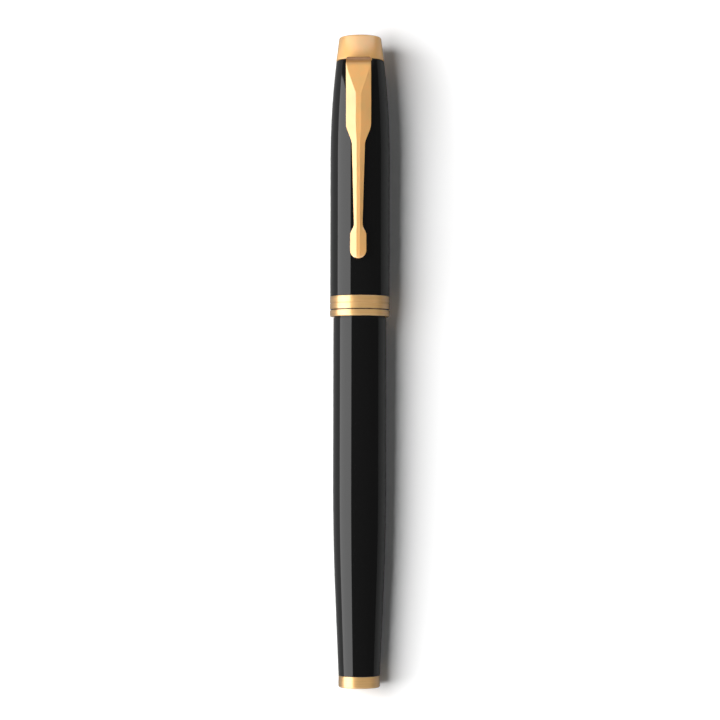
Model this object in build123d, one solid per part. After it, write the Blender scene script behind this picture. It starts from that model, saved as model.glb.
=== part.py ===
from build123d import *
from math import ceil
import os

# Capped rollerball pen with a pull-off cap, a spring clip and a screw-on barrel.
# Everything is modelled about the pen's axis as local Z, with station 0 at the closed end of the
# barrel. Last of all it is laid along +Y with the clip on top and the cap's band resting on Z = 0.
# Millimetres throughout.

# Overall
penLength = 138.5
capLength = 59.93            # lip to top of crown
barrelRadius = 5.65
refillRadius = 3.0

# Fits between pieces
capClearance = 0.20          # cap bore over the barrel
slideClearance = 0.05        # cap liner over the snap ring
pressGap = 0.02              # pieces fixed inside one another
seatGap = 0.05               # end faces of pieces that come apart
refillClearance = 0.12       # refill in the collar and the grip
threadClearance = 0.07       # between crests and roots of the barrel's thread

# Cap
capWall = 0.48
capShoulderLength = 21.35    # curved stretch under the crown
capShoulderDrop = 1.25       # shoulder's end is this much smaller in radius than the cap
capShoulderRound = 0.30
capEndWall = 1.0
bandHeight = 4.35
bandStand = 0.05             # band stands this far proud of the cap
bandThickness = 0.25
bandLip = 0.33               # turned-in lip that covers the end of the cap tube
bandEdgeRound = 0.16
bandLipRound = 0.24
bandGroovesFromLip = (1.45, 2.85)
bandGrooveWidth = 0.22
bandGrooveDepth = 0.07
crownHeight = 5.15
crownStand = 0.06            # crown's base stands this far proud of the shoulder's end
crownTaper = 0.69            # crown's top is this much smaller in radius than its base
crownTopRound = 0.40
crownBaseBevel = 0.18
linerEndWall = 1.5
linerMouthFromBarrel = 1.6
linerMouthRound = 0.25
linerConeEnd = 0.5           # liner's cone starts and ends this far short of the grip's cone
linerConeLength = 8.5
noseRoom = 0.5               # liner's chamber round the nose
gripRoom = 0.35              # and round the grip's end
tipRoom = 1.71               # between the tip and the crown screw's head
screwRadius = 0.95
screwHeadRadius = 1.9
screwHeadHeight = 0.9
screwReach = 2.6             # screw's length inside the crown
screwSlotWidth = 0.4
screwSlotDepth = 0.4
screwHeadRound = 0.3
screwHoleSpare = 0.3         # crown's hole is this much deeper than the screw

# Clip
clipSheet = 0.60             # ring and tab
clipThickness = 0.85         # arm
clipRingInset = 0.53         # ring's edge lies this far inside the shoulder's end
clipRingHole = 1.3
clipTabOverlap = 0.5         # tab reaches this far into the ring
clipWidth = 5.37
clipHingeStand = 0.48        # flexing line at the root, this far outside the crown
clipBend = 2.05              # outside of the bend at the root
clipLength = 42.85           # crown to tip
clipShoulderLength = 14.65   # full-width stretch
clipNeckLength = 3.70        # narrowing below it
clipNeckWidth = 2.79
clipStemEndWidth = 1.73
clipTongueLength = 7.0
clipTongueWidth = 3.4
clipRise = 0.30              # arm stands further off at its tongue than at its root
clipPadGap = 0.10            # pad under the tongue, above the cap
clipRidgeWidth = 1.3
clipFacetDrop = 0.22         # long facets fall this far from ridge to edge
clipHingeClearance = 0.03
clipPlanRounds = (2.5, 6.0, 3.0, 2.0)    # shoulder, neck, stem's end, tongue's shoulder
clipTongueShoulder = 1.5     # tongue is at its full width this far above its round end
clipPadRadius = 0.9
clipPadRound = 0.25
clipPadPlace = 0.45          # share of the tongue's length, from the tip

# Barrel
barrelWall = 0.50
barrelOverlap = 1.60         # barrel mouth inside the cap's lip
barrelNeckInset = 0.20       # part of the barrel inside the cap is this much smaller in radius
barrelNeckShow = 0.25        # and starts this far below the cap's lip
tailBandHeight = 2.47
tailBandStand = 0.01         # tail band stands this far proud of the barrel's end
tailBandRound = 0.38
barrelTaper = 1.25           # barrel's end is this much smaller in radius than its mouth
barrelTaperCorner = 32.0     # where the straight taper would meet the cylinder
barrelTaperBlend = 12.0      # the blend reaches this far each side of that corner
barrelEdgeRound = 0.10
plugHeight = 2.5
plugBossRadius = 2.1
plugBossHeight = 1.1
plugStudRadius = 1.5
plugStudLength = 1.5
bushLength = 10.0
bushRecess = 0.6             # bush stops short of the barrel's mouth
bushWall = 0.36              # outside its thread

# Thread that joins barrel and grip
threadDepth = 0.34
threadPitch = 0.80
threadTurns = 9.0
threadRootShare = 0.725      # rib's width where it leaves the wall, as a share of the pitch
threadCrestWidth = 0.10
threadEmbed = 0.05           # rib starts this far inside the wall
threadStartBelowMouth = 1.3
threadLeadOut = 1.7          # plain end of the collar below its thread

# Grip
ringHeight = 1.4
ringInset = 0.20             # ring is this much smaller in radius than the barrel
ringRound = 0.25
collarSpigotLength = 5.4
collarEndRound = 0.2
gripInset = 0.63             # grip is this much smaller in radius than the barrel
gripWaistDepth = 0.77
gripWaistPlace = 0.6         # share of the grip's length, from the ring
gripNoseTaper = 1.07         # grip's end is this much smaller in radius than its start
gripStraight = 1.2           # straight stretch above the snap ring
gripEndRound = 0.15
snapRingFromRing = 1.8
snapRingWidth = 1.2
snapRingThickness = 0.60
snapRingStand = 0.14         # snap ring stands this far out of the grip
snapRingSplit = 2.0
snapRingPlay = 0.03
snapRingRound = 0.3
noseLength = 5.5
noseStep = 0.23              # nose starts this much smaller in radius than the grip's end
noseTipRadius = 1.60
noseSpigotLength = 4.5
noseBoreShare = 0.35         # the bore is plain for this share of the nose's length
noseRounds = (0.2, 0.12)
noseMouthRadius = 1.32

# Refill
refillTubeWall = 0.28
refillStand = 2.94           # ball's centre stands this far out of the nose
refillNeckPlace = 0.546      # where the neck starts, as a share of the grip's length
refillNeckRadius = 1.92
refillNeckStep = 1.8         # cone between tube and neck
refillHolderSpigot = 5.0
refillHolderRound = 0.2
refillRearPlugRound = 0.4
refillRearPlugHead = 1.5
refillRearPlugSpigot = 3.5
tipLength = 8.3
tipBaseRadius = 1.50
tipSpigotRadius = 1.30
tipSpigotLength = 4.0
tipLandLength = 0.8          # plain stretch before the tip's cone
tipSolidLength = 1.3         # solid end round the ball
tipChannelCone = 0.5         # the ink channel narrows over this length below it
tipMouthRadius = 0.43
ballRadius = 0.35
ballClearance = 0.012
ballStand = 0.22             # ball stands this far out of its socket
feedRodRadius = 0.45
feedRodReach = 8.0           # feed rod's length inside the reservoir
feedRodGap = 0.1             # feed rod stops this far short of the tip's cone
reservoirPlay = 0.08         # reservoir in the refill's tube
springPlay = 0.125           # spring's coil inside the refill's outline
springWire = 0.45
springTurns = 7.0
springLength = 11.1          # between the tail plug and the refill

# Radii that follow from one another
capBore = barrelRadius + capClearance
capRadius = capBore + capWall
bandRadius = capRadius + bandStand
bandSeatRadius = bandRadius - bandThickness
capShoulderRadius = capRadius - capShoulderDrop
crownBaseRadius = capShoulderRadius + crownStand
crownTopRadius = crownBaseRadius - crownTaper
clipRingRadius = capShoulderRadius - clipRingInset
clipHingeOut = crownBaseRadius + clipHingeStand
barrelBore = barrelRadius - barrelWall
tailRadius = barrelRadius - barrelTaper
tailBandRadius = tailRadius + tailBandStand
tailBore = tailRadius - barrelWall
threadCrestRadius = barrelBore - bushWall - threadClearance
threadRootRadius = threadCrestRadius - threadDepth
ringRadius = barrelRadius - ringInset
gripRadius = barrelRadius - gripInset
gripWaistRadius = gripRadius - gripWaistDepth
gripNoseRadius = gripRadius - gripNoseTaper
snapRingRadius = gripRadius + snapRingStand
linerBore = snapRingRadius + slideClearance
refillBore = refillRadius + refillClearance
neckBore = refillNeckRadius + refillClearance
noseBaseRadius = gripNoseRadius - noseStep
noseSpigotRadius = (neckBore + gripNoseRadius) / 2
snapGrooveFloor = snapRingRadius - snapRingThickness - snapRingPlay
collarSpigotRadius = (refillBore + snapGrooveFloor) / 2
refillTubeBore = refillRadius - refillTubeWall
reservoirRadius = refillTubeBore - reservoirPlay
springRadius = refillRadius - springPlay - springWire / 2

# Stations along the pen
lip = penLength - capLength
bandTop = lip + bandHeight
crownBase = penLength - crownHeight
capShoulderBase = crownBase - capShoulderLength
clipSeat = crownBase - clipSheet
capEndInside = clipSeat - capEndWall
linerTop = capEndInside - pressGap
screwSeat = linerTop - linerEndWall
barrelMouth = lip + barrelOverlap
barrelNeckBase = lip - barrelNeckShow
threadBase = barrelMouth - threadStartBelowMouth - threadPitch * threadTurns
ringBase = barrelMouth + seatGap
gripBase = ringBase + ringHeight
tipEnd = screwSeat - screwHeadHeight - tipRoom
ballCentre = tipEnd - ballRadius + ballStand
noseEnd = ballCentre - refillStand
gripEnd = noseEnd - noseLength
gripLength = gripEnd - gripBase
tipBase = tipEnd - tipLength
tipChannelEnd = tipEnd - tipSolidLength - tipChannelCone
neckBase = gripBase + gripLength * refillNeckPlace
tubeEnd = neckBase - refillNeckStep
collarSpigotTop = gripBase + collarSpigotLength
plugTop = tailBandHeight + plugHeight
refillRear = plugTop + springLength
rearPlugTop = refillRear + refillRearPlugHead
reservoirBase = rearPlugTop + refillRearPlugSpigot + pressGap
reservoirTop = tubeEnd - refillHolderSpigot - pressGap
feedRodBase = reservoirTop - feedRodReach


def turned(corners, rounds=()):
    """Solid of revolution from (radius, station) corners; rounds are (corner number, radius)."""
    face = make_face(Polyline(*corners, close=True))
    for number, radius in rounds:
        corner = face.vertices().sort_by_distance(Vector(*corners[number]))[0]
        face = fillet(corner, radius)
    return revolve(Plane.XZ * face, Axis.Z)


def tube(outer, inner, low, high):
    return turned([(inner, low), (outer, low), (outer, high), (inner, high)])


def rod(radius, low, high):
    return turned([(0, low), (radius, low), (radius, high), (0, high)])


def radiusOnBarrel(station):
    """Outer radius of the barrel's straight taper at a station below its blend."""
    slope = (barrelRadius - tailRadius) / (barrelTaperCorner - tailBandHeight)
    return tailRadius + slope * (station - tailBandHeight)


def coil(face, pitch, turns, radius, base):
    """A face drawn at (radius, 0) of the XZ plane, carried up a helix about the axis."""
    path = Helix(pitch=pitch, height=pitch * turns, radius=radius)
    return Pos(0, 0, base) * sweep(Plane.XZ * face, path=path, is_frenet=True)


def threadRib(root, crest, turns, base):
    """Trapezoidal thread rib that stands on a wall of radius root and reaches the crest radius."""
    foot = root - threadEmbed if crest > root else root + threadEmbed
    half = threadPitch * threadRootShare / 2
    flat = threadCrestWidth / 2
    rib = make_face(Polyline((foot, -half), (crest, -flat), (crest, flat), (foot, half), close=True))
    return coil(rib, threadPitch, turns, root, base)


def capTube():
    """Lacquered tube with a curved shoulder; its end is bored for the screw and slotted for the clip."""
    outer = Line((capRadius, bandTop), (capRadius, capShoulderBase))
    shoulder = TangentArc((capRadius, capShoulderBase), (capShoulderRadius, crownBase), tangent=(0, 1))
    innerTop = capShoulderRadius - capWall
    rest = Polyline(
        (capShoulderRadius, crownBase), (0, crownBase), (0, capEndInside), (innerTop, capEndInside),
        (capBore, capShoulderBase), (capBore, lip + bandLip), (bandSeatRadius, lip + bandLip),
        (bandSeatRadius, bandTop), (capRadius, bandTop),
    )
    face = make_face([*outer.edges(), *shoulder.edges(), *rest.edges()])
    edge = face.vertices().sort_by_distance(Vector(capShoulderRadius, crownBase))[0]
    body = revolve(Plane.XZ * fillet(edge, capShoulderRound), Axis.Z)
    body -= rod(screwRadius + pressGap, capEndInside, crownBase)
    body -= rod(clipRingRadius + pressGap, clipSeat, crownBase)
    slotWidth = clipWidth + 2 * pressGap
    slot = Box(slotWidth, capRadius, clipSheet, align=(Align.CENTER, Align.MAX, Align.MIN))
    return body - Pos(0, 0, clipSeat) * slot


def capBand():
    """Ring over the mouth of the cap, with two turned grooves."""
    corners = [
        (capBore, lip), (bandRadius, lip), (bandRadius, bandTop), (bandSeatRadius, bandTop),
        (bandSeatRadius, lip + bandLip), (capBore, lip + bandLip),
    ]
    body = turned(corners, [(1, bandLipRound), (2, bandEdgeRound)])
    half = bandGrooveWidth / 2
    for height in bandGroovesFromLip:
        middle = lip + height
        body -= turned([
            (bandRadius - bandGrooveDepth, middle - half / 2), (bandRadius, middle - half),
            (capRadius + 2 * bandStand, middle - half), (capRadius + 2 * bandStand, middle + half),
            (bandRadius, middle + half), (bandRadius - bandGrooveDepth, middle + half / 2),
        ])
    return body


def capLiner():
    """Inner cap: its bore slides over the snap ring and its blind end closes round the nose."""
    outside = capBore - pressGap
    innerTop = capShoulderRadius - capWall - pressGap
    mouth = barrelMouth + linerMouthFromBarrel
    chamber = noseTipRadius + noseRoom
    coneTop = gripEnd - linerConeEnd
    corners = [
        (linerBore, mouth), (outside, mouth), (outside, capShoulderBase), (innerTop, linerTop),
        (0, linerTop), (0, screwSeat), (chamber, screwSeat), (chamber, noseEnd),
        (gripNoseRadius + gripRoom, coneTop), (linerBore, coneTop - linerConeLength),
    ]
    body = turned(corners, [(0, linerMouthRound)])
    return body - rod(screwRadius, screwSeat, linerTop)


def capCrown():
    """Tapering metal crown, screwed down on the clip's ring."""
    corners = [
        (0, crownBase), (crownBaseRadius - crownBaseBevel, crownBase),
        (crownBaseRadius, crownBase + crownBaseBevel), (crownTopRadius, penLength), (0, penLength),
    ]
    body = turned(corners, [(3, crownTopRound)])
    return body - rod(screwRadius, crownBase, crownBase + screwReach + screwHoleSpare)


def crownScrew():
    """Slotted screw that holds liner, cap tube, clip ring and crown together."""
    headEnd = screwSeat - screwHeadHeight
    body = rod(screwRadius, screwSeat, crownBase + screwReach)
    body += turned([
        (0, headEnd), (screwHeadRadius, headEnd), (screwHeadRadius, screwSeat), (0, screwSeat),
    ], [(1, screwHeadRound)])
    slot = Box(3 * screwHeadRadius, screwSlotWidth, screwSlotDepth)
    return body - Pos(0, 0, headEnd + screwSlotDepth / 2) * slot


def clipRing():
    """Flat ring held under the crown, with the tab that carries the arm."""
    ring = tube(clipRingRadius, clipRingHole, clipSeat, crownBase)
    tab = Box(clipWidth, clipHingeOut, clipSheet, align=(Align.CENTER, Align.MAX, Align.MIN))
    tab = Pos(0, 0, clipSeat) * tab - rod(clipRingRadius - clipTabOverlap, clipSeat, crownBase)
    seat = Cylinder(clipSheet / 2 + clipHingeClearance, clipWidth + 1, rotation=(0, 90, 0))
    return ring + tab - Pos(0, -clipHingeOut, clipSeat + clipSheet / 2) * seat


def clipArm():
    """Sprung arm: a bend at the root, a tapering stem and a rounded tongue with a pad beneath."""
    hingeStation = clipSeat + clipSheet / 2
    front = clipHingeOut + clipBend
    bendEnd = crownBase - clipBend
    tip = crownBase - clipLength
    frontEnd = front + clipRise
    back = front - clipThickness
    backEnd = frontEnd - clipThickness

    # Side view, drawn as (distance from the axis, station) and swept across the width.
    outerBend = RadiusArc((clipHingeOut, crownBase), (front, bendEnd), clipBend)
    outerLine = Polyline((front, bendEnd), (frontEnd, tip), (backEnd, tip), (back, bendEnd))
    innerBend = RadiusArc((back, bendEnd), (clipHingeOut, clipSeat), -(clipBend - clipThickness * 0.8))
    rootEnd = Line((clipHingeOut, clipSeat), (clipHingeOut, crownBase))
    side = make_face([*outerBend.edges(), *outerLine.edges(), *innerBend.edges(), *rootEnd.edges()])
    side += Pos(clipHingeOut, hingeStation) * Circle(clipSheet / 2)
    sideways = Plane(origin=(0, 0, 0), x_dir=(0, -1, 0), z_dir=(-1, 0, 0))
    strip = extrude(sideways * side, clipWidth / 2 + 1, both=True)

    # Front view, drawn as (across, station).
    shoulder = crownBase - clipShoulderLength
    neck = shoulder - clipNeckLength
    tongueTop = tip + clipTongueLength
    tongueMiddle = tip + clipTongueWidth / 2
    half = clipWidth / 2
    outline = [
        (half, crownBase + 1), (half, shoulder), (clipNeckWidth / 2, neck), (clipStemEndWidth / 2, tongueTop),
        (clipTongueWidth / 2, tongueMiddle + clipTongueShoulder), (clipTongueWidth / 2, tip),
    ]
    mirrored = [(-x, z) for x, z in reversed(outline)]
    plan = make_face(Polyline(*outline, *mirrored, close=True))
    for number, radius in enumerate((*clipPlanRounds, clipTongueWidth / 2 * 0.98), 1):
        for x, z in (outline[number], mirrored[5 - number]):
            corner = plan.vertices().sort_by_distance(Vector(x, z))[0]
            plan = fillet(corner, radius)
    body = strip & extrude(Plane.XZ * plan, capRadius * 2)

    # Two long facets fall from the ridge to the edges.
    for sign in (1, -1):
        fall = Polyline(
            (sign * clipRidgeWidth / 2, 0), (sign * half, -clipFacetDrop), (sign * clipWidth, -clipFacetDrop),
            (sign * clipWidth, 1), (sign * clipRidgeWidth / 2, 1), close=True,
        )
        facet = extrude(make_face(fall), clipLength)
        body -= Pos(0, -front, tip - 1) * Rot(0, 0, 180) * facet

    # Pad that rests near the cap.
    padStation = tip + clipTongueLength * clipPadPlace
    padHeight = (back + backEnd) / 2 + clipThickness / 2 - (capRadius + clipPadGap)
    inwards = (Align.CENTER, Align.CENTER, Align.MIN)
    pad = Cylinder(clipPadRadius, padHeight, align=inwards, rotation=(90, 0, 0))
    pad = fillet(pad.edges().sort_by(Axis.Y)[-1], clipPadRound)
    return body + Pos(0, -(capRadius + clipPadGap), padStation) * pad


def barrelTube():
    """Lacquered tube: a straight taper, a long blend, a plain cylinder and a neck that enters the cap."""
    neckRadius = barrelRadius - barrelNeckInset
    blendTop = barrelTaperCorner + barrelTaperBlend
    blendBase = barrelTaperCorner - barrelTaperBlend
    blend = TangentArc((barrelRadius, blendTop), (radiusOnBarrel(blendBase), blendBase), tangent=(0, -1))
    rest = Polyline(
        (radiusOnBarrel(blendBase), blendBase), (tailRadius, tailBandHeight), (tailBore, tailBandHeight),
        (tailBore, plugTop), (barrelBore, blendTop), (barrelBore, barrelMouth), (neckRadius, barrelMouth),
        (neckRadius, barrelNeckBase), (barrelRadius, barrelNeckBase), (barrelRadius, blendTop),
    )
    face = make_face([*blend.edges(), *rest.edges()])
    corners = ((tailRadius, tailBandHeight), (barrelRadius, barrelNeckBase), (neckRadius, barrelMouth))
    for radius, station in corners:
        edge = face.vertices().sort_by_distance(Vector(radius, station))[0]
        face = fillet(edge, barrelEdgeRound)
    return revolve(Plane.XZ * face, Axis.Z)


def barrelBush():
    """Insert fixed in the barrel's mouth; its thread runs half a pitch from the collar's."""
    top = barrelMouth - bushRecess
    base = top - bushLength
    body = tube(barrelBore, threadCrestRadius + threadClearance, base, top)
    turns = int(bushLength / threadPitch - threadRootShare - 1)
    ribBase = threadBase + threadPitch * (0.5 + ceil((base - threadBase) / threadPitch))
    return body + threadRib(
        threadCrestRadius + threadClearance, threadRootRadius + threadClearance, turns, ribBase
    )


def tailBand():
    """Solid metal end of the barrel, bored for the plug's stud."""
    corners = [(0, 0), (tailBandRadius, 0), (tailBandRadius, tailBandHeight), (0, tailBandHeight)]
    body = turned(corners, [(1, tailBandRound), (2, barrelEdgeRound)])
    return body - rod(plugStudRadius, tailBandHeight - plugStudLength, tailBandHeight)


def tailPlug():
    """Plug fixed in the barrel: a stud in the tail band and a boss that centres the spring."""
    studBase = tailBandHeight - plugStudLength
    bossTop = plugTop + plugBossHeight
    return turned([
        (0, studBase), (plugStudRadius, studBase), (plugStudRadius, tailBandHeight),
        (tailBore - pressGap, tailBandHeight), (tailBore - pressGap, plugTop), (plugBossRadius, plugTop),
        (plugBossRadius, bossTop), (0, bossTop),
    ])


def threadCollar():
    """Metal sleeve: threaded below the ring, plain where the grip is fixed on it."""
    base = threadBase - threadLeadOut
    body = turned([
        (refillBore, base), (threadRootRadius, base), (threadRootRadius, ringBase),
        (collarSpigotRadius, ringBase), (collarSpigotRadius, collarSpigotTop), (refillBore, collarSpigotTop),
    ], [(1, collarEndRound)])
    return body + threadRib(threadRootRadius, threadCrestRadius, threadTurns, threadBase)


def gripRing():
    """Bright ring between the barrel's mouth and the grip."""
    corners = [
        (collarSpigotRadius + pressGap, ringBase), (ringRadius, ringBase),
        (ringRadius, gripBase), (collarSpigotRadius + pressGap, gripBase),
    ]
    return turned(corners, [(1, ringRound), (2, ringRound)])


def gripSection():
    """Grip with a shallow waist, a groove for the snap ring and a stepped bore for the refill."""
    grooveBase = gripBase + snapRingFromRing
    grooveTop = grooveBase + snapRingWidth + 2 * snapRingPlay
    straightTop = grooveTop + gripStraight
    waist = gripBase + gripLength * gripWaistPlace
    socketBase = gripEnd - noseSpigotLength
    curve = Spline(
        (gripRadius, straightTop), (gripWaistRadius, waist), (gripNoseRadius, gripEnd),
        tangents=((0, 1), (0, 1)),
    )
    inside = collarSpigotRadius + pressGap
    rest = Polyline(
        (gripNoseRadius, gripEnd), (noseSpigotRadius + pressGap, gripEnd),
        (noseSpigotRadius + pressGap, socketBase), (neckBore, socketBase),
        (neckBore, neckBase + seatGap), (refillBore, tubeEnd + seatGap),
        (refillBore, collarSpigotTop + pressGap), (inside, collarSpigotTop + pressGap), (inside, gripBase),
        (gripRadius, gripBase), (gripRadius, grooveBase), (snapGrooveFloor, grooveBase),
        (snapGrooveFloor, grooveTop), (gripRadius, grooveTop), (gripRadius, straightTop),
    )
    face = make_face([*curve.edges(), *rest.edges()])
    edge = face.vertices().sort_by_distance(Vector(gripNoseRadius, gripEnd))[0]
    return revolve(Plane.XZ * fillet(edge, gripEndRound), Axis.Z)


def snapRing():
    """Split spring ring that the cap's liner grips."""
    base = gripBase + snapRingFromRing + snapRingPlay
    top = base + snapRingWidth
    inner = snapRingRadius - snapRingThickness
    corners = [(inner, base), (snapRingRadius, base), (snapRingRadius, top), (inner, top)]
    body = turned(corners, [(1, snapRingRound), (2, snapRingRound)])
    reach = (snapRingSplit, snapRingRadius * 2, snapRingWidth * 2)
    split = Box(*reach, align=(Align.CENTER, Align.MIN, Align.CENTER))
    return body - Pos(0, 0, base) * split


def noseCone():
    """Metal cone at the front, its spigot fixed in the grip."""
    spigotBase = gripEnd - noseSpigotLength
    taperBase = gripEnd + noseLength * noseBoreShare
    return turned([
        (neckBore, spigotBase), (noseSpigotRadius, spigotBase), (noseSpigotRadius, gripEnd),
        (noseBaseRadius, gripEnd), (noseTipRadius, noseEnd), (noseMouthRadius, noseEnd),
        (neckBore, taperBase),
    ], zip((3, 4), noseRounds))


def refillTube():
    return tube(refillRadius, refillTubeBore, rearPlugTop, tubeEnd)


def refillRearPlug():
    inside = refillTubeBore - pressGap
    spigotTop = rearPlugTop + refillRearPlugSpigot
    corners = [
        (0, refillRear), (refillRadius, refillRear), (refillRadius, rearPlugTop), (inside, rearPlugTop),
        (inside, spigotTop), (0, spigotTop),
    ]
    return turned(corners, [(1, refillRearPlugRound)])


def refillHolder():
    """Front of the refill: a spigot in the tube, a cone that seats in the grip, and the neck."""
    inside = refillTubeBore - pressGap
    channel = feedRodRadius + pressGap
    socket = tipSpigotRadius + pressGap
    spigotBase = tubeEnd - refillHolderSpigot
    socketBase = tipBase - tipSpigotLength
    return turned([
        (channel, spigotBase), (inside, spigotBase), (inside, tubeEnd), (refillRadius, tubeEnd),
        (refillNeckRadius, neckBase), (refillNeckRadius, tipBase), (socket, tipBase), (socket, socketBase),
        (channel, socketBase),
    ], [(5, refillHolderRound)])


def refillTip():
    """Metal point with the ball's socket."""
    channel = feedRodRadius + pressGap
    spigotBase = tipBase - tipSpigotLength
    solidBase = tipEnd - tipSolidLength
    body = turned([
        (channel, spigotBase), (tipSpigotRadius, spigotBase), (tipSpigotRadius, tipBase),
        (tipBaseRadius, tipBase), (tipBaseRadius, tipBase + tipLandLength), (tipMouthRadius, tipEnd),
        (0, tipEnd), (0, solidBase), (channel / 2, solidBase), (channel, tipChannelEnd),
    ])
    socket = Pos(0, 0, ballCentre) * Sphere(ballRadius + ballClearance)
    return body - socket - rod(channel / 2, solidBase, ballCentre)


def tipBall():
    return Pos(0, 0, ballCentre) * Sphere(ballRadius)


def feedRod():
    """Fibre rod that leads the ink from the reservoir to the ball."""
    return rod(feedRodRadius, feedRodBase, tipChannelEnd - feedRodGap)


def inkReservoir():
    body = rod(reservoirRadius, reservoirBase, reservoirTop)
    return body - rod(feedRodRadius + pressGap, feedRodBase - pressGap, reservoirTop)


def refillSpring():
    """Compression spring between the tail plug and the refill."""
    low = plugTop + seatGap + springWire / 2
    high = refillRear - seatGap - springWire / 2
    wire = Pos(springRadius, 0) * Circle(springWire / 2)
    return coil(wire, (high - low) / springTurns, springTurns, springRadius, low)


builders = {
    "cap_tube": capTube,
    "cap_band": capBand,
    "cap_liner": capLiner,
    "cap_crown": capCrown,
    "crown_screw": crownScrew,
    "clip_ring": clipRing,
    "clip_arm": clipArm,
    "snap_ring": snapRing,
    "barrel_tube": barrelTube,
    "barrel_bush": barrelBush,
    "tail_band": tailBand,
    "tail_plug": tailPlug,
    "thread_collar": threadCollar,
    "grip_ring": gripRing,
    "grip_section": gripSection,
    "nose_cone": noseCone,
    "refill_tube": refillTube,
    "refill_rear_plug": refillRearPlug,
    "refill_holder": refillHolder,
    "refill_tip": refillTip,
    "tip_ball": tipBall,
    "feed_rod": feedRod,
    "ink_reservoir": inkReservoir,
    "refill_spring": refillSpring,
}

# Station 0 goes to -Y, the clip's side to +Z, and the band's lowest line to Z = 0.
layDown = Pos(0, -penLength / 2, bandRadius) * Rot(-90, 0, 0)

os.makedirs("parts", exist_ok=True)
for name, build in builders.items():
    export_step(layDown * build(), f"parts/{name}.step")
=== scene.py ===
import bpy
import math
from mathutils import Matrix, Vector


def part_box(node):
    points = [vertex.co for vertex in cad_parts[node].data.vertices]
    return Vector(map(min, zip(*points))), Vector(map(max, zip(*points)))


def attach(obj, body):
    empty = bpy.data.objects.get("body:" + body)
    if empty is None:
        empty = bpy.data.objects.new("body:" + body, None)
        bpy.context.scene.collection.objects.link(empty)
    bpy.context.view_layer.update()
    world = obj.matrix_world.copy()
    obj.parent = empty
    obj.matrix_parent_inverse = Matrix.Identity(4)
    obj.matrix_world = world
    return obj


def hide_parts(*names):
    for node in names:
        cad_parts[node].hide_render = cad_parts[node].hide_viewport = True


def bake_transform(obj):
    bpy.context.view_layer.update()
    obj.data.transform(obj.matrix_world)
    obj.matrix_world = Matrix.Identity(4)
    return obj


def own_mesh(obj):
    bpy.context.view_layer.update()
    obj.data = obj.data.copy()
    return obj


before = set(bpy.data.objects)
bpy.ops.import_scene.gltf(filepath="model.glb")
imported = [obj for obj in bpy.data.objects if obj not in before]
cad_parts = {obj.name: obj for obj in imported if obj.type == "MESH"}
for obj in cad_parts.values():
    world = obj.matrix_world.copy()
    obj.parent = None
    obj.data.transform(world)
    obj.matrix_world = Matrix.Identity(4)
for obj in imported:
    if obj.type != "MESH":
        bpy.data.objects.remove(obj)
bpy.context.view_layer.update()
mm = 0.001

bpy.context.scene.view_settings.view_transform = "Standard"
print("frame loaded:", len(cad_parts), "nodes")


def span(node):
    # low station, high station and largest radius of a round node, in mm along and about the pen
    low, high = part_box(node)
    return low.y / mm, high.y / mm, (high.x - low.x) / 2 / mm


tailLow, tailHigh, tailRadius = span("tail_band")
barrelLow, barrelMouth, barrelRadius = span("barrel_tube")
lip, bandTop, bandRadius = span("cap_band")
capLow, crownBase, capRadius = span("cap_tube")
_, crownTop, crownRadius = span("cap_crown")
ringLow, ringHigh, ringRadius = span("grip_ring")
gripLow, gripHigh, gripRadius = span("grip_section")
_, noseEnd, _ = span("nose_cone")
penAxis = sum(corner.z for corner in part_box("barrel_tube")) / 2 / mm
clipLow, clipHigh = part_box("clip_arm")
clipLength = crownBase - clipLow.y / mm
clipFront = clipHigh.z / mm - penAxis      # highest point of the arm above the pen's axis


def clearSelection():
    if bpy.context.object and bpy.context.object.mode != "OBJECT":
        bpy.ops.object.mode_set(mode="OBJECT")
    bpy.ops.object.select_all(action="DESELECT")


def addVertex(name, x, y, z):
    # a new piece starts as one vertex at this place in mm, left in edit mode to be extruded
    clearSelection()
    bpy.ops.mesh.primitive_plane_add(size=mm)
    piece = bpy.context.object
    piece.name = name
    bpy.ops.object.mode_set(mode="EDIT")
    bpy.ops.mesh.merge(type="CENTER")
    bpy.ops.transform.translate(value=(x * mm, y * mm, z * mm))
    return piece


def extrudeBy(x, y, z):
    bpy.ops.mesh.extrude_region_move(TRANSFORM_OT_translate={"value": (x * mm, y * mm, z * mm)})


def rounded(corners):
    # (radius, station) corners; a third number rounds a corner that far along both its sides,
    # and a fourth says in how many steps
    outline = []
    for i, corner in enumerate(corners):
        if len(corner) == 2:
            outline.append(corner)
            continue
        here = corner[:2]
        reach = corner[2]
        steps = corner[3] if len(corner) > 3 else 6
        ends = []
        for other in (corners[i - 1], corners[(i + 1) % len(corners)]):
            away = (other[0] - here[0], other[1] - here[1])
            share = reach / math.hypot(*away)
            ends.append((here[0] + away[0] * share, here[1] + away[1] * share))
        for step in range(steps + 1):
            t = step / steps
            outline.append(tuple(
                (1 - t) ** 2 * start + 2 * t * (1 - t) * middle + t * t * end
                for start, middle, end in zip(ends[0], here, ends[1])
            ))
    return outline


turning = {
    "steps": 160,            # flats round a turned piece
    "mergeWithin": 0.0005,   # mm, closes the seam and the poles
    "smoothAngle": 28,       # degrees, sharper edges stay crisp
}


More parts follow.
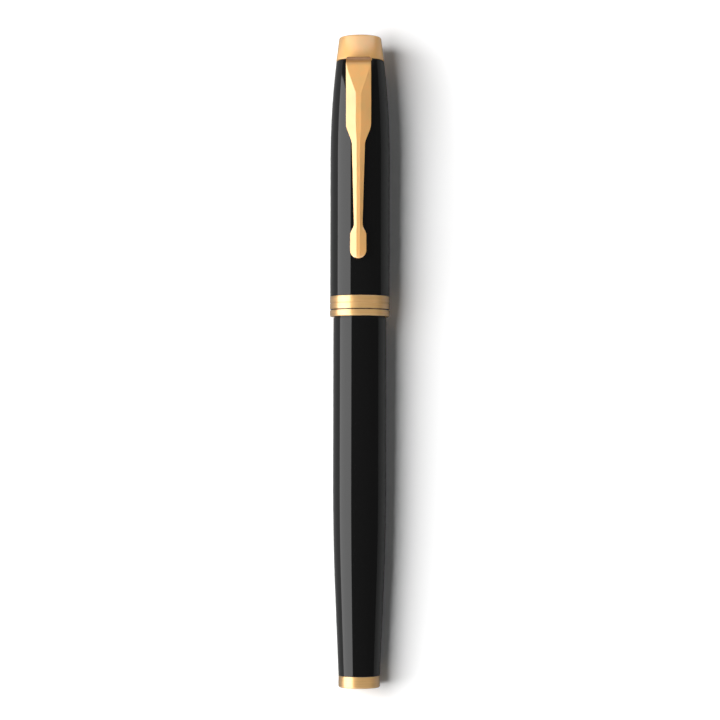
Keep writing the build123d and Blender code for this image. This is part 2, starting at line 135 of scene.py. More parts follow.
def turnPiece(name, corners, closed=True):
    # the outline is drawn beside the pen's axis by extruding one vertex, then spun round it
    outline = rounded(corners)
    if closed:
        outline.append(outline[0])
    piece = addVertex(name, *outline[0], penAxis)
    for (r0, s0), (r1, s1) in zip(outline, outline[1:]):
        extrudeBy(r1 - r0, s1 - s0, 0)
    bpy.ops.mesh.select_all(action="SELECT")
    bpy.ops.mesh.spin(steps=turning["steps"], angle=math.tau, center=(0, 0, penAxis * mm), axis=(0, 1, 0))
    bpy.ops.mesh.select_all(action="SELECT")
    bpy.ops.mesh.remove_doubles(threshold=turning["mergeWithin"] * mm)
    bpy.ops.mesh.normals_make_consistent(inside=False)
    bpy.ops.object.mode_set(mode="OBJECT")
    bpy.ops.object.shade_smooth_by_angle(angle=math.radians(turning["smoothAngle"]))
    return piece


def place(piece, body, material, slot, *nodes):
    piece.data.materials.clear()
    piece.data.materials.append(material)
    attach(piece, body)
    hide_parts(*nodes)


def toLinear(hexCode):
    parts = [int(hexCode[i:i + 2], 16) / 255 for i in (1, 3, 5)]
    return [c / 12.92 if c <= 0.04045 else ((c + 0.055) / 1.055) ** 2.4 for c in parts] + [1.0]


def addNode(owner, kind, settings=None, values=None, links=None):
    # settings are the node's own properties, values its sockets' constants, links {socket: output}
    node = owner.node_tree.nodes.new(kind)
    for key, value in (settings or {}).items():
        setattr(node, key, value)
    for key, value in (values or {}).items():
        node.inputs[key].default_value = value
    for key, output in (links or {}).items():
        owner.node_tree.links.new(output, node.inputs[key])
    return node


def startMaterial(name, roughness, metallic=0.0):
    material = bpy.data.materials.new(name)
    material.use_nodes = True
    shader = material.node_tree.nodes["Principled BSDF"]
    shader.inputs["Roughness"].default_value = roughness
    shader.inputs["Metallic"].default_value = metallic
    return material, shader


def patternPlace(material, scale):
    # object coordinates in mm, centred on the pen's axis, then multiplied by the scale
    coordinates = addNode(material, "ShaderNodeTexCoord")
    where = addNode(
        material, "ShaderNodeMapping", {"vector_type": "POINT"},
        {"Location": [-c * s for c, s in zip((0, 0, penAxis), scale)], "Scale": [s / mm for s in scale]},
        {"Vector": coordinates.outputs["Object"]},
    )
    return where.outputs["Vector"]


def workSurface(material, shader, marks, colours, colourEnds, gloss, relief,
                glossEnds=(0.3, 0.7), dents=None):
    # the marks of its making tint a surface, vary its gloss (least and most roughness) and raise
    # its relief (strength, depth in mm), which may follow other dents
    tone = addNode(material, "ShaderNodeValToRGB", links={"Fac": marks.outputs["Fac"]})
    for stop, position, colour in zip(tone.color_ramp.elements, colourEnds, colours):
        stop.position = position
        stop.color = toLinear(colour)
    rough = addNode(
        material, "ShaderNodeMapRange", None,
        {"From Min": glossEnds[0], "From Max": glossEnds[1], "To Min": gloss[0], "To Max": gloss[1]},
        {"Value": marks.outputs["Fac"]},
    )
    bump = addNode(material, "ShaderNodeBump", None, {"Strength": relief[0], "Distance": relief[1] * mm},
                   {"Height": (dents or marks).outputs["Fac"]})
    links = material.node_tree.links
    links.new(tone.outputs["Color"], shader.inputs["Base Color"])
    links.new(rough.outputs["Result"], shader.inputs["Roughness"])
    links.new(bump.outputs["Normal"], shader.inputs["Normal"])


def clearCoat(shader):
    # the thin clear lacquer that keeps gold plate from wearing: sharp pale reflections over the soft gold
    shader.inputs["Coat Weight"].default_value = 1.0
    shader.inputs["Coat Roughness"].default_value = 0.05
    shader.inputs["Coat IOR"].default_value = 1.85


def polishedPlate(name, colours, roughness):
    # gold plate buffed on brass: soft reflections with the faint unevenness of hand polishing
    material, shader = startMaterial(name, roughness, metallic=1.0)
    cloud = addNode(material, "ShaderNodeTexNoise", None, {"Scale": 1.0, "Detail": 3.0, "Roughness": 0.5},
                    {"Vector": patternPlace(material, (0.5, 0.5, 0.5))})
    workSurface(material, shader, cloud, colours, (0.3, 0.7), (roughness * 0.9, roughness * 1.1),
                (0.03, 0.02))
    clearCoat(shader)
    return material


def turnedPlate(name, colours, roughness):
    # gold plate on a lathe-turned ring: fine lines run round it and pull its highlights along the pen
    material, shader = startMaterial(name, roughness, metallic=1.0)
    rings = addNode(material, "ShaderNodeTexNoise", None, {"Scale": 1.0, "Detail": 4.0, "Roughness": 0.6},
                    {"Vector": patternPlace(material, (0.10, 7.0, 0.10))})
    workSurface(material, shader, rings, colours, (0.3, 0.7), (roughness * 0.85, roughness * 1.15),
                (0.25, 0.015))
    around = addNode(material, "ShaderNodeTangent", {"direction_type": "RADIAL", "axis": "Y"})
    material.node_tree.links.new(around.outputs["Tangent"], shader.inputs["Tangent"])
    shader.inputs["Anisotropic"].default_value = 0.8
    shader.inputs["Anisotropic Rotation"].default_value = 0.25
    clearCoat(shader)
    return material


def lacquer(name):
    # black nitrocellulose lacquer, sprayed on brass and buffed: a deep mirror with the faintest ripple
    material, shader = startMaterial(name, 0.05)
    shader.inputs["IOR"].default_value = 1.5
    ripple = addNode(material, "ShaderNodeTexNoise", None, {"Scale": 1.0, "Detail": 2.0, "Roughness": 0.5},
                     {"Vector": patternPlace(material, (0.5, 0.35, 0.5))})
    haze = addNode(material, "ShaderNodeTexNoise", None, {"Scale": 1.0, "Detail": 4.0, "Roughness": 0.6},
                   {"Vector": patternPlace(material, (3.0, 0.8, 3.0))})
    workSurface(material, shader, haze, ("#050505", "#0A0A0A"), (0, 1), (0.035, 0.075), (0.05, 0.03),
                glossEnds=(0.3, 0.75), dents=ripple)
    return material


def moulded(name, colours, roughness, grain):
    # injection-moulded plastic: a dull, even skin with a fine grain of the given size in mm
    material, shader = startMaterial(name, roughness)
    shader.inputs["IOR"].default_value = 1.49
    skin = addNode(material, "ShaderNodeTexNoise", None, {"Scale": 1.0, "Detail": 5.0, "Roughness": 0.6},
                   {"Vector": patternPlace(material, (1 / grain,) * 3)})
    workSurface(material, shader, skin, colours, (0, 1), (roughness * 0.85, roughness * 1.15), (0.15, 0.02))
    return material


def turnedMetal(name, colours, roughness, pitch):
    # turned and left bare: tool marks run round the pen at the given spacing in mm
    material, shader = startMaterial(name, roughness, metallic=1.0)
    cuts = addNode(material, "ShaderNodeTexNoise", None, {"Scale": 1.0, "Detail": 4.0, "Roughness": 0.6},
                   {"Vector": patternPlace(material, (0.15, 1 / pitch, 0.15))})
    workSurface(material, shader, cuts, colours, (0.3, 0.7), (roughness * 0.8, roughness * 1.2), (0.3, 0.02))
    return material


def clipPlateWithPaintedShade():
    # the crown's buffed plate, with painted shade at the clip's root: there the plate is coloured a deeper,
    # duller orange that stands in for the crown's shade
    material = polishedPlate("paintedShadeClipPlate", buffedColours, 0.7)
    baseColour = material.node_tree.nodes["Principled BSDF"].inputs["Base Color"]
    buffed = baseColour.links[0].from_socket
    # painted shade: within 0.6 to 2.3 mm of the crown the base colour is mixed towards a dark orange
    down = addNode(material, "ShaderNodeAttribute", {"attribute_name": "fromCrown"})      # mm
    paintedRootShade = addNode(material, "ShaderNodeMapRange", {"interpolation_type": "SMOOTHSTEP"},
                   {"From Min": 0.6, "From Max": 2.3, "To Min": 0.9, "To Max": 0.0},
                   {"Value": down.outputs["Fac"]})
    tone = addNode(material, "ShaderNodeMix", {"data_type": "RGBA"}, {7: toLinear("#AD7430")},
                   {0: paintedRootShade.outputs["Result"], 6: buffed})
    material.node_tree.links.new(tone.outputs[2], baseColour)
    return material


buffedColours = ("#F9CA84", "#FFD08C")
blackLacquer = lacquer("blackLacquer")
polishedGold = polishedPlate("polishedGold", buffedColours, 0.7)
turnedGold = turnedPlate("turnedGold", ("#EDBE7A", "#FFD392"), 0.56)
darkGrooveGold = turnedPlate("darkGrooveFloor", ("#5E3C1A", "#6E4822"), 0.7)      # darker brown, on the lower groove's floor
shadedClipGold = clipPlateWithPaintedShade()
linerPlastic = moulded("linerPolypropylene", ("#191919", "#222223"), 0.5, 0.4)
gripPlastic = moulded("gripAbs", ("#0C0C0D", "#141415"), 0.22, 0.25)
refillPlastic = moulded("refillPolypropylene", ("#141416", "#1E1E21"), 0.45, 0.3)
refillTubePlastic = moulded("refillTubeNylon", ("#C3C7C8", "#D4D8D8"), 0.38, 0.5)
inkFibre = moulded("inkFibre", ("#07070F", "#131320"), 0.85, 0.12)
bareBrass = turnedMetal("bareBrass", ("#C99F52", "#E0BD74"), 0.28, 0.12)
stainless = turnedMetal("stainlessSteel", ("#B4B2AE", "#D0CECA"), 0.25, 0.10)
springSteel = turnedMetal("springSteel", ("#9E9E9F", "#BEBEC0"), 0.3, 0.08)
carbide = turnedMetal("tungstenCarbide", ("#8C8C8F", "#A3A3A6"), 0.18, 0.05)
print("materials made")

barrel = {
    "taperCorner": 29.53,    # tail end of the tube to where the straight taper would meet the cylinder
    "taperBlend": 12.0,
    "taperSteps": 28,
    "tailStepIn": 0.01,
    "plugDepth": 2.5,        # the bore is narrow this far in, for the tail plug
    "wall": 0.5,
    "edgeRound": 0.1,
    "neckInset": 0.2,        # the neck that enters the cap is this much thinner than the barrel
    "neckShow": 0.25,        # and starts just outside the cap's lip
}


def makeBarrel():
    corner = barrelLow + barrel["taperCorner"]
    blend = barrel["taperBlend"]
    tailOut = tailRadius - barrel["tailStepIn"]
    tailIn = tailOut - barrel["wall"]
    edge = barrel["edgeRound"]
    bore = barrelRadius - barrel["wall"]
    neck = barrelRadius - barrel["neckInset"]
    neckBase = lip - barrel["neckShow"]
    return turnPiece("barrelShell", [
        (tailIn, barrelLow), (tailOut, barrelLow, edge),
        (barrelRadius, corner, blend, barrel["taperSteps"]), (barrelRadius, neckBase, edge),
        (neck, neckBase), (neck, barrelMouth, edge), (bore, barrelMouth, edge),
        (bore, corner + blend), (tailIn, barrelLow + barrel["plugDepth"]),
    ])


place(makeBarrel(), "barrel", blackLacquer, "black_lacquer", "barrel_tube")

tail = {
    "round": 0.38,
    "jointRound": 0.12,      # soft edge where it meets the barrel
    "jointWidth": 0.7,
    "faceDish": 0.06,        # the end face is hollowed this deep
    "dishIn": 1.0,           # and the hollow starts this far in from the side
    "dishRound": 0.3,
    "rimIn": 0.6,
    "rimRound": 0.1,
}


def makeTailBand():
    dish = tailLow + tail["faceDish"]
    return turnPiece("tailCap", [
        (0, dish), (tailRadius - tail["dishIn"], dish, tail["dishRound"]),
        (tailRadius - tail["rimIn"], tailLow, tail["rimRound"]), (tailRadius, tailLow, tail["round"], 8),
        (tailRadius, tailHigh, tail["jointRound"]), (tailRadius - tail["jointWidth"], tailHigh),
        (0, tailHigh),
    ], closed=False)


place(makeTailBand(), "barrel", turnedGold, "gold_satin", "tail_band")
print("barrel made")

cap = {
    "shoulder": 21.35,       # curved stretch under the crown
    "shoulderReach": 0.99,   # share of it that the curve takes
    "shoulderSteps": 30,
    "shoulderRadius": 5.08,
    "shoulderRound": 0.3,
    "wall": 0.48,
    "bandSeat": 0.25,        # the band is let in this deep
    "crownSeat": 4.57,       # recess for the crown's foot
    "seatDepth": 0.6,
    "endWall": 1.0,          # what the crown's screw clamps
    "screwHole": 0.97,
}


def makeCap():
    bandSeat = bandRadius - cap["bandSeat"]
    bore = capRadius - cap["wall"]
    half = cap["shoulder"] / 2
    seatFloor = crownBase - cap["seatDepth"]
    innerTop = seatFloor - cap["endWall"]
    shoulder = cap["shoulderRadius"]
    return turnPiece("capShell", [
        (bore, capLow), (bandSeat, capLow), (bandSeat, bandTop), (capRadius, bandTop),
        (capRadius, crownBase - half, half * cap["shoulderReach"], cap["shoulderSteps"]),
        (shoulder, crownBase, cap["shoulderRound"], 8), (cap["crownSeat"], crownBase),
        (cap["crownSeat"], seatFloor), (cap["screwHole"], seatFloor), (cap["screwHole"], innerTop),
        (shoulder - cap["wall"], innerTop), (bore, crownBase - cap["shoulder"]),
    ])


place(makeCap(), "cap", blackLacquer, "black_lacquer", "cap_tube")

band = {
    "lipThickness": 0.33,    # the band wraps the cap's mouth
    "lipBevel": 0.30,
    "lipInnerRound": 0.08,
    "topBevel": 0.22,
    "grooves": ((1.45, 0.30, 0.20), (2.85, 0.22, 0.12)),   # height above the lip, width, depth
    "grooveEdge": 0.04,
    "grooveFloor": 0.02,
    "darkHalfHeight": 0.12,   # the darker colour reaches this far either side of the lower groove's middle
}


def makeBand():
    bore = capRadius - cap["wall"]
    seat = bandRadius - cap["bandSeat"]
    lipTop = lip + band["lipThickness"]
    edge, floor = (band["grooveEdge"], 3), (band["grooveFloor"], 2)      # rounding and its steps
    corners = [(bore, lip, band["lipInnerRound"]), (bandRadius, lip, band["lipBevel"], 8)]
    for height, width, depth in band["grooves"]:
        middle = lip + height
        corners += [
            (bandRadius, middle - width / 2, *edge), (bandRadius - depth, middle - width / 6, *floor),
            (bandRadius - depth, middle + width / 6, *floor), (bandRadius, middle + width / 2, *edge),
        ]
    corners += [(bandRadius, bandTop, band["topBevel"], 6), (seat, bandTop), (seat, lipTop), (bore, lipTop)]
    return turnPiece("capBandRing", corners)


bandPiece = makeBand()
place(bandPiece, "cap", turnedGold, "gold_satin", "cap_band")
# the lower groove's floor is coloured a darker brown than the rest of the band
bandPiece.data.materials.append(darkGrooveGold)
grooveHeight, _, grooveDepth = band["grooves"][0]
for face in bandPiece.data.polygons:
    out = math.hypot(face.center.x, face.center.z - penAxis * mm)
    off = abs(face.center.y - (lip + grooveHeight) * mm)
    if off < band["darkHalfHeight"] * mm and out > (bandRadius - grooveDepth - band["grooveFloor"]) * mm:
        face.material_index = 1

crown = {
    "topRadius": 4.45,
    "topRound": 0.42,
    "topDome": 0.07,         # fall of the top from its middle to its edge
    "domeBreak": 0.55,       # share of the top that is nearly flat
    "domeStart": 0.3,        # and its share of the fall
    "domeRound": 1.2,
    "baseBevel": 0.2,
    "foot": 4.6,
}


def makeCrown():
    dome = crown["topDome"]
    return turnPiece("crown", [
        (0, crownTop),
        (crown["topRadius"] * crown["domeBreak"], crownTop - dome * crown["domeStart"],
         crown["domeRound"], 6),
        (crown["topRadius"], crownTop - dome, crown["topRound"], 8),
        (crownRadius, crownBase, crown["baseBevel"], 6), (crown["foot"], crownBase), (0, crownBase),
    ], closed=False)


place(makeCrown(), "cap", polishedGold, "gold_polished", "cap_crown")
print("cap made")

clip = {
    "width": 5.30,
    "tabWidth": 3.9,
    "tabRows": (4.2, 4.9, 5.62),   # out from the axis, under the crown to where the bend begins
    "bend": 1.05,            # the arm turns out of the crown on this radius, then slopes up
    "bendSteps": 7,
    "rootSlope": 28.0,
    "slopeLength": 1.0,
    "rootBlend": 0.6,
    "blendSteps": 4,
    "rise": 0.35,            # of the arm, from its root to its tip
    "thickness": 1.0,
    "rootCorner": 0.65,
    "facetTop": 2.4,         # crown to where the long facets start
    "facetEnd": 7.9,         # crown to where the flat between them is down to the ridge
    "flatShare": 0.93,       # share of the width that is flat above the facets
    "ridge": 1.1,
    "ridgeShare": 0.6,       # most of the width that the ridge takes
    "stemRidge": 0.72,
    "drop": 0.74,            # facets fall this far from ridge to edge
    "stemDrop": 0.40,
    "shoulder": 14.65,
    "neck": 18.6,
    "neckWidth": 2.75,
    "stemEndWidth": 1.80,
    "tongue": 7.2,
    "tongueShoulder": 2.2,
    "tongueWidth": 3.4,
    "tipFade": 1.0,          # the last stretch, where the facets run out
    "tipFall": 0.18,
    "tipDrop": 0.6,          # share of the drop that is left at the very tip
    "rowGap": 0.45,          # rows where the shape changes
    "plainGap": 1.2,         # rows along the plain stem
    "firstGap": 0.35,
    "rootRows": 8.5,         # rows stay close down to here
    "edgeBevel": 0.17,
    "bevelSteps": 8,
    "bevelAbove": 50,        # degrees, which leaves the long facets' lines alone
    "smoothAngle": 14,
}
clipRoot = clipFront - clip["rise"]      # height of the arm where it leaves the bend
tipRadius = clip["tongueWidth"] / 2


def clamp(t):
    return min(max(t, 0), 1)


def mix(a, b, t):
    return a + (b - a) * clamp(t)


def ease(t):
    t = clamp(t)
    return t * t * (3 - 2 * t)


def clipHalfWidth(down):
    # half the arm's width this far below the crown
    corner = clip["rootCorner"]
    tongueTop = clipLength - clip["tongue"]
    if down < corner:
        return clip["width"] / 2 - (corner - math.sqrt(max(0, corner ** 2 - (corner - down) ** 2)))
    if down < clip["shoulder"]:
        return clip["width"] / 2
    if down < clip["neck"]:
        t = (down - clip["shoulder"]) / (clip["neck"] - clip["shoulder"])
        return mix(clip["width"], clip["neckWidth"], ease(t) * 0.5 + t * 0.5) / 2
    if down < tongueTop:
        t = (down - clip["neck"]) / (tongueTop - clip["neck"])
        return mix(clip["neckWidth"], clip["stemEndWidth"], t) / 2
    if down < tongueTop + clip["tongueShoulder"]:
        t = ease((down - tongueTop) / clip["tongueShoulder"])
        return mix(clip["stemEndWidth"], clip["tongueWidth"], t) / 2
    fromTip = clipLength - down
    if fromTip < tipRadius:
        return math.sqrt(max(0, tipRadius ** 2 - (tipRadius - fromTip) ** 2))
    return tipRadius


def rowPlaces(rootEnd):
    # distances below the crown: close together where the arm's shape changes and round its tip
    places = [rootEnd + clip["firstGap"]]
    while places[-1] < clipLength - tipRadius:
        here = places[-1]
        onShoulder = clip["shoulder"] - 1 < here < clip["neck"] + 1
        onTongue = here > clipLength - clip["tongue"] - 1
        close = here < clip["rootRows"] or onShoulder or onTongue
        places.append(here + clip["rowGap" if close else "plainGap"])
    tip = [clipLength - tipRadius * (1 - math.sin(math.radians(a))) for a in range(10, 90, 10)]
    return [p for p in places if p < tip[0] - 0.1] + tip + [clipLength - 0.012]


def clipProfile():
    # (distance below the crown, height above the axis) down the arm: a tight turn, a short slope
    # that stays in the crown's shade, a soft turn into the arm, then a long straight rise
    slope = clip["rootSlope"]
    bends, blends = clip["bendSteps"], clip["blendSteps"]
    turns = [(90 - (90 - slope) * (i + 0.5) / bends, clip["bend"] * math.radians(90 - slope) / bends)
             for i in range(bends)]
    turns += [(slope, clip["slopeLength"])]
    turns += [(slope * (1 - (i + 0.5) / blends), clip["rootBlend"] * math.radians(slope) / blends)
              for i in range(blends)]
    down = 0.0
    height = clipRoot - sum(length * math.sin(math.radians(lean)) for lean, length in turns)
    profile = [(down, height)]
    for lean, length in turns:
        down += length * math.cos(math.radians(lean))
        height += length * math.sin(math.radians(lean))
        profile.append((down, height))
    for here in rowPlaces(down):
        profile.append((here, mix(clipRoot, clipFront, (here - down) / (clipLength - down))))
    return profile


def clipRows():
    # (distance below the crown, height above the axis, half width, half ridge, drop at the edge)
    (_, bendStart), *profile = clipProfile()
    tabHalf = clip["tabWidth"] / 2
    rows = [(0.0, out, tabHalf, tabHalf * clip["ridgeShare"], 0.0) for out in (*clip["tabRows"], bendStart)]
    for down, height in profile:
        half = clipHalfWidth(down)
        if down < clip["rootCorner"]:
            half = max(half, tabHalf)
        toStem = ease((down - clip["shoulder"]) / (clip["neck"] - clip["shoulder"]))
        toRidge = (down - clip["facetTop"]) / (clip["facetEnd"] - clip["facetTop"])
        ridge = mix(half * clip["flatShare"], mix(clip["ridge"], clip["stemRidge"], toStem) / 2, toRidge)
        if down > clip["facetEnd"]:
            ridge = min(ridge, half * clip["ridgeShare"])
        drop = mix(clip["drop"], clip["stemDrop"], toStem)
        if down < clip["shoulder"]:
            drop *= clamp((half - ridge) / (clip["width"] / 2 - clip["ridge"] / 2))
        fade = clamp((clipLength - down) / clip["tipFade"])
        height -= clip["tipFall"] * (1 - fade) ** 2
        rows.append((down, height, half, ridge, drop * mix(clip["tipDrop"], 1, fade)))
    return rows


def pick(piece, indices):
    # selects just these vertices and the edges between them
    bpy.ops.object.mode_set(mode="EDIT")
    bpy.ops.mesh.select_all(action="DESELECT")
    bpy.ops.object.mode_set(mode="OBJECT")
    for index in indices:
        piece.data.vertices[index].select = True
    bpy.ops.object.mode_set(mode="EDIT")


def widenRow(piece, changes):
    # the newest row is selected: its outer and inner pairs move to their new widths and heights
    bpy.ops.object.mode_set(mode="OBJECT")
    row = sorted((v for v in piece.data.vertices if v.select), key=lambda v: v.co.x)
    places = [v.index for v in row]
    for pair, (old, new, fall) in zip(((places[0], places[-1]), (places[1], places[-2])), changes):
        pick(piece, pair)
        bpy.ops.transform.resize(value=(new / old, 1, 1), center_override=(0, 0, 0))
        if fall:
            bpy.ops.transform.translate(value=(0, 0, -fall * mm))
        bpy.ops.object.mode_set(mode="OBJECT")
    pick(piece, places)


def makeClip():
    # a row of five vertices across the tab is extruded down the arm, then the sheet gets its wall
    rows = clipRows()
    down, height, half, ridge, _ = rows[0]
    piece = addVertex("clipSpring", -half, crownBase - down, penAxis + height)
    for step in (half - ridge, ridge, ridge, half - ridge):
        extrudeBy(step, 0, 0)
    bpy.ops.mesh.select_all(action="SELECT")
    for (d0, h0, w0, r0, f0), (d1, h1, w1, r1, f1) in zip(rows, rows[1:]):
        extrudeBy(0, d0 - d1, h1 - h0)
        widenRow(piece, ((w0, w1, f1 - f0), (r0, r1, 0.0)))
    bpy.ops.mesh.select_all(action="SELECT")
    bpy.ops.mesh.normals_make_consistent(inside=False)
    bpy.ops.object.mode_set(mode="OBJECT")
    if piece.data.polygons[len(piece.data.polygons) // 2].normal.z < 0:      # a sheet may turn either way
        bpy.ops.object.mode_set(mode="EDIT")
        bpy.ops.mesh.flip_normals()
        bpy.ops.object.mode_set(mode="OBJECT")
    wall = piece.modifiers.new("wall", "SOLIDIFY")
    wall.thickness = clip["thickness"] * mm
    wall.offset = -1
    wall.use_even_offset = True
    edges = piece.modifiers.new("edges", "BEVEL")
    edges.width = clip["edgeBevel"] * mm
    edges.segments = clip["bevelSteps"]
    edges.limit_method = "ANGLE"
    edges.angle_limit = math.radians(clip["bevelAbove"])
    for modifier in ("wall", "edges"):
        bpy.ops.object.modifier_apply(modifier=modifier)
    bpy.ops.object.shade_smooth_by_angle(angle=math.radians(clip["smoothAngle"]))
    return piece


clipPiece = makeClip()
clipPiece.data.materials.append(shadedClipGold)
fromCrown = clipPiece.data.attributes.new("fromCrown", "FLOAT", "POINT")      # mm, for the painted shade at the clip's root
for vertex in clipPiece.data.vertices:
    fromCrown.data[vertex.index].value = crownBase - vertex.co.y / mm
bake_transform(clipPiece)
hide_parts("clip_arm")
print("clip made")

# the grip is seen when the cap is off
grip = {
    "waistPlace": 0.6,       # share of its length, from the ring
    "waistDepth": 0.77,
    "waistSteps": 16,
    "endTaper": 1.07,
    "endRound": 0.15,
    "ringRound": 0.12,       # edge beside the ring
    "grooveFrom": 1.8,
    "grooveWidth": 1.26,
    "grooveDepth": 0.49,
    "grooveEdge": 0.06,
    "straight": 1.2,
    "bore": 3.9,
    "boreEnd": 8.0,          # the wide bore ends this far from the nose
    "noseBore": 3.1,
    "noseSocket": 4.4,       # depth that the nose cone's stem goes in
}


def smoothLine(points, steps):
    # a curve through three points that starts and ends along the pen
    (r0, s0), (r1, s1), (r2, s2) = points
    lean = (r2 - r0) / (s2 - s0)
    line = []
    for ra, sa, ta, rb, sb, tb in ((r0, s0, 0, r1, s1, lean), (r1, s1, lean, r2, s2, 0)):
        for step in range(steps):
            t = step / steps
            a, b = 2 * t ** 3 - 3 * t ** 2 + 1, -2 * t ** 3 + 3 * t ** 2
            c, d = t ** 3 - 2 * t ** 2 + t, t ** 3 - t ** 2
            line.append((a * ra + b * rb + (c * ta + d * tb) * (sb - sa), sa + (sb - sa) * t))
    return line + [(r2, s2)]


def makeGrip():
    grooveLow = gripLow + grip["grooveFrom"]
    grooveHigh = grooveLow + grip["grooveWidth"]
    grooveFloor = gripRadius - grip["grooveDepth"]
    endRadius = gripRadius - grip["endTaper"]
    curve = smoothLine((
        (gripRadius, grooveHigh + grip["straight"]),
        (gripRadius - grip["waistDepth"], mix(gripLow, gripHigh, grip["waistPlace"])),
        (endRadius, gripHigh - grip["endRound"]),
    ), grip["waistSteps"])
    return turnPiece("gripBody", [
        (grip["bore"], gripLow), (gripRadius, gripLow, grip["ringRound"]),
        (gripRadius, grooveLow, grip["grooveEdge"]), (grooveFloor, grooveLow), (grooveFloor, grooveHigh),
        (gripRadius, grooveHigh, grip["grooveEdge"]), *curve, (endRadius - grip["endRound"], gripHigh),
        (grip["noseBore"], gripHigh), (grip["noseBore"], gripHigh - grip["noseSocket"]),
        (grip["bore"], gripHigh - grip["boreEnd"]),
    ])


gripRing = {"edgeRound": 0.28}


def makeGripRing():
    edge = (gripRing["edgeRound"], 8)
    return turnPiece("gripRing", [
        (grip["bore"], ringLow), (ringRadius, ringLow, *edge), (ringRadius, ringHigh, *edge),
        (grip["bore"], ringHigh),
    ])


nose = {
    "baseStep": 0.23,
    "baseRound": 0.22,
    "stemRadius": 3.0,       # the stem that is pressed into the grip
    "bore": 2.06,
    "boreEnd": 1.9,          # the bore narrows from here to the mouth
    "tipRadius": 1.6,
    "tipRound": 0.14,
    "mouthRadius": 1.32,
}


def makeNose():
    base = gripRadius - grip["endTaper"] - nose["baseStep"]
    stemEnd = gripHigh - grip["noseSocket"]
    return turnPiece("noseCone", [
        (nose["bore"], stemEnd), (nose["stemRadius"], stemEnd), (nose["stemRadius"], gripHigh),
        (base, gripHigh, nose["baseRound"]), (nose["tipRadius"], noseEnd, nose["tipRound"]),
        (nose["mouthRadius"], noseEnd), (nose["bore"], gripHigh + nose["boreEnd"]),
    ])


place(makeGrip(), "section", gripPlastic, "grip_plastic", "grip_section")
place(makeGripRing(), "section", polishedGold, "gold_polished", "grip_ring")
place(makeNose(), "section", polishedGold, "gold_polished", "nose_cone")
print("grip made")

# what is hidden inside keeps its CAD shape and gets its finish here
carried = {
    "cap_liner": linerPlastic, "crown_screw": stainless, "clip_ring": polishedGold, "snap_ring": springSteel,
    "barrel_bush": bareBrass, "tail_plug": bareBrass, "thread_collar": bareBrass,
    "refill_tube": refillTubePlastic, "refill_rear_plug": refillPlastic, "refill_holder": refillPlastic,
    "refill_tip": stainless, "tip_ball": carbide, "feed_rod": inkFibre, "ink_reservoir": inkFibre,
    "refill_spring": springSteel,
}
for node, material in carried.items():
    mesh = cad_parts[node].data
    mesh.materials.clear()
    mesh.materials.append(material)

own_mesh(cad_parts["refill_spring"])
print("finishes given to", len(carried), "carried nodes")

table = {
    "width": 3.0,
    "grid": 64,
    "gap": 0.02,             # mm under the pen
    "glowFrom": 0.022,       # the paper starts to burn out this far from the pen
    "glowTo": 0.065,
    "glowAlong": 0.35,       # and further off past its ends
    "tone": 0.9,
    "toneInPen": 0.27,       # what the glossy pieces mirror of it
    "gloss": 0.1,
    "roughness": 0.9,
}


def whitePaper():
    # matt uncoated paper: an even white that burns out away from the pen, as the camera sees it
    paper, shader = startMaterial("whitePaper", table["roughness"])
    shader.inputs["Specular IOR Level"].default_value = table["gloss"]
    coordinates = addNode(paper, "ShaderNodeTexCoord")
    where = addNode(paper, "ShaderNodeMapping", None, {"Scale": (1, table["glowAlong"], 0)},
                    {"Vector": coordinates.outputs["Object"]})
    far = addNode(paper, "ShaderNodeVectorMath", {"operation": "LENGTH"}, None, {0: where.outputs["Vector"]})
    path = addNode(paper, "ShaderNodeLightPath")
    glow = addNode(paper, "ShaderNodeMapRange", {"interpolation_type": "SMOOTHSTEP"},
                   {"From Min": table["glowFrom"], "From Max": table["glowTo"], "To Min": 0.0, "To Max": 1.0},
                   {"Value": far.outputs["Value"]})
    seen = addNode(paper, "ShaderNodeMath", {"operation": "MULTIPLY"}, None,
                   {0: glow.outputs["Result"], 1: path.outputs["Is Camera Ray"]})
    tone = addNode(paper, "ShaderNodeMapRange", None, {"To Min": table["toneInPen"], "To Max": table["tone"]},
                   {"Value": path.outputs["Is Camera Ray"]})
    shader.inputs["Emission Color"].default_value = (1, 1, 1, 1)
    paper.node_tree.links.new(tone.outputs["Result"], shader.inputs["Base Color"])
    paper.node_tree.links.new(seen.outputs["Value"], shader.inputs["Emission Strength"])
    return paper


def makeTable():
    clearSelection()
    bpy.ops.mesh.primitive_grid_add(x_subdivisions=table["grid"], y_subdivisions=table["grid"],
                                    size=table["width"])
    sheet = bpy.context.object
    sheet.name = "table"
    # the pen rests on its band's lower edge and on its tail band, so the table leans a little
    lean = math.atan2(bandRadius - tailRadius, lip - tailLow)
    bpy.ops.object.mode_set(mode="EDIT")
    bpy.ops.transform.rotate(value=lean, orient_axis="X", center_override=(0, 0, 0))
    bpy.ops.transform.translate(value=(0, 0, -(lip * math.tan(lean) + table["gap"]) * mm))
    bpy.ops.object.mode_set(mode="OBJECT")
    sheet.data.materials.append(whitePaper())


makeTable()
print("table made")

studio = {
    "roll": 2.7,             # degrees that the camera stands round the pen, to the clip's right
    "distance": 0.490,
    "foot": -0.0177,         # where along the pen the camera stands
    "sideStep": 0.00008,     # and how far it is moved to the right
    "aim": 0.00015,          # where along the pen it looks
    "lens": 115.0,
    "sensor": 36.0,
    "boxPlace": -0.095,      # the softbox is an upright panel on the pen's left
    "boxTop": 36.0,          # degrees off the camera's axis to its upper edge, seen from the pen
    "boxBottom": 0.006,
    "boxEnds": (-0.16, 0.088),
    "boxRadiance": 2.8,
    "keyHeight": 0.5,
    "keyNear": 0.085,        # the key's edges, this far to the pen's left
    "keyFar": 0.68,
    "keyLength": 0.5,
    "keyEnergy": 7.8,
    "ambient": 0.11,         # what the pen sees straight above it and to its right
    "endWalls": 1.6,         # and past its two ends
    "endLamps": 1.3,         # low down beyond each end, for bright lips on the rings
    "fill": 0.06,            # what the room adds on matt surfaces
}


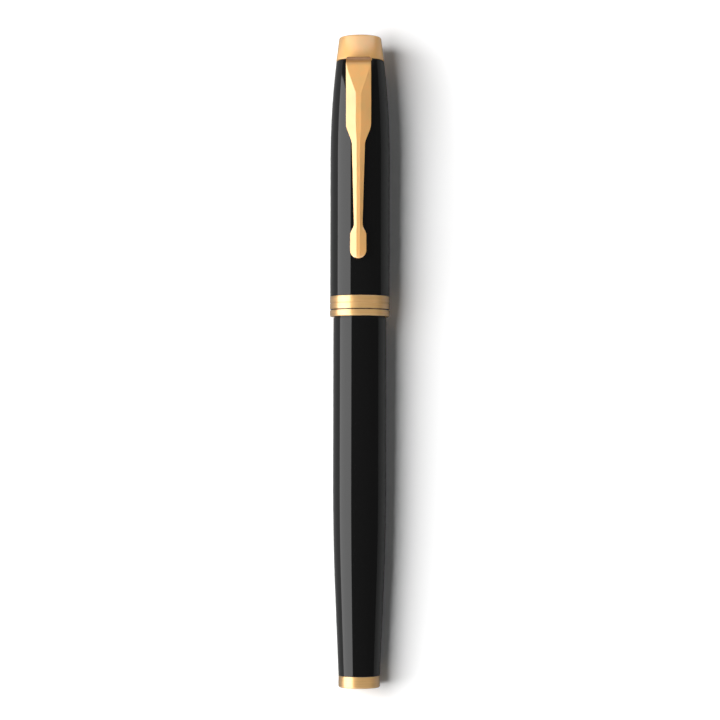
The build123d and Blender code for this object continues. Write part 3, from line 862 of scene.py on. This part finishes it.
def addPanel(name, centre, turn, size, energy):
    bpy.ops.object.light_add(type="AREA", location=centre, rotation=(0, turn, 0))
    lamp = bpy.context.object
    lamp.name = name
    lamp.data.shape = "RECTANGLE"
    lamp.data.size, lamp.data.size_y = size
    lamp.data.energy = energy
    lamp.visible_camera = False
    return lamp


roll = math.radians(studio["roll"])

# softbox: it makes the long bright strip on the left of every glossy piece
boxTop = penAxis * mm - studio["boxPlace"] / math.tan(math.radians(studio["boxTop"]) - roll)
boxHeight = boxTop - studio["boxBottom"]
boxLength = studio["boxEnds"][1] - studio["boxEnds"][0]
boxCentre = (studio["boxPlace"], sum(studio["boxEnds"]) / 2, boxTop - boxHeight / 2)
softbox = addPanel("softbox", boxCentre, math.radians(-90), (boxHeight, boxLength),
                   studio["boxRadiance"] * math.pi * boxHeight * boxLength)
softbox.visible_diffuse = False

# key: a wide wash from above and left that lights the paper and throws the soft shadow
keySide = (studio["keyNear"] + studio["keyFar"]) / 2
key = addPanel("key", (-keySide, 0, studio["keyHeight"]), -math.atan2(keySide, studio["keyHeight"]),
               (studio["keyFar"] - studio["keyNear"], studio["keyLength"]), studio["keyEnergy"])
key.visible_glossy = False


def makeRoom():
    # white for the camera; for the pen dim above and brighter past its ends
    room = bpy.data.worlds.new("studio")
    bpy.context.scene.world = room
    room.use_nodes = True
    sky = room.node_tree.nodes["Background"]
    direction = addNode(room, "ShaderNodeTexCoord")
    split = addNode(room, "ShaderNodeSeparateXYZ", links={"Vector": direction.outputs["Generated"]})
    along = addNode(room, "ShaderNodeMath", {"operation": "ABSOLUTE"}, None, {0: split.outputs["Y"]})
    ramp = addNode(room, "ShaderNodeValToRGB", links={"Fac": along.outputs["Value"]})
    dim, walled, lamps = studio["ambient"], studio["endWalls"], studio["endLamps"]
    walls = ((0.34, dim), (0.42, walled), (0.64, walled), (0.76, dim), (0.90, dim), (0.96, lamps))
    ramp.color_ramp.elements[0].position = walls[0][0]
    ramp.color_ramp.elements[1].position = walls[-1][0]
    for height, _ in walls[1:-1]:
        ramp.color_ramp.elements.new(height)
    for stop, (_, value) in zip(ramp.color_ramp.elements, walls):
        stop.color = (value, value, value, 1)
    path = addNode(room, "ShaderNodeLightPath")
    forPen = addNode(room, "ShaderNodeMapRange", None, {"To Max": studio["fill"]},
                     {"Value": path.outputs["Is Diffuse Ray"], "To Min": ramp.outputs["Color"]})
    strength = addNode(room, "ShaderNodeMapRange", None, {"To Max": 1.0},
                       {"Value": path.outputs["Is Camera Ray"], "To Min": forPen.outputs["Result"]})
    room.node_tree.links.new(strength.outputs["Result"], sky.inputs["Strength"])
    sky.inputs["Color"].default_value = (1, 1, 1, 1)


makeRoom()

eyeSide = math.sin(roll) * studio["distance"] + studio["sideStep"]
eyeHeight = penAxis * mm + math.cos(roll) * studio["distance"]
bpy.ops.object.camera_add(location=(eyeSide, studio["foot"], eyeHeight))
camera = bpy.context.object
camera.data.lens = studio["lens"]
camera.data.sensor_width = studio["sensor"]
camera.rotation_mode = "YXZ"
camera.rotation_euler = (math.atan2(studio["aim"] - studio["foot"], studio["distance"]), roll, 0)
bpy.context.scene.camera = camera
print("studio made")
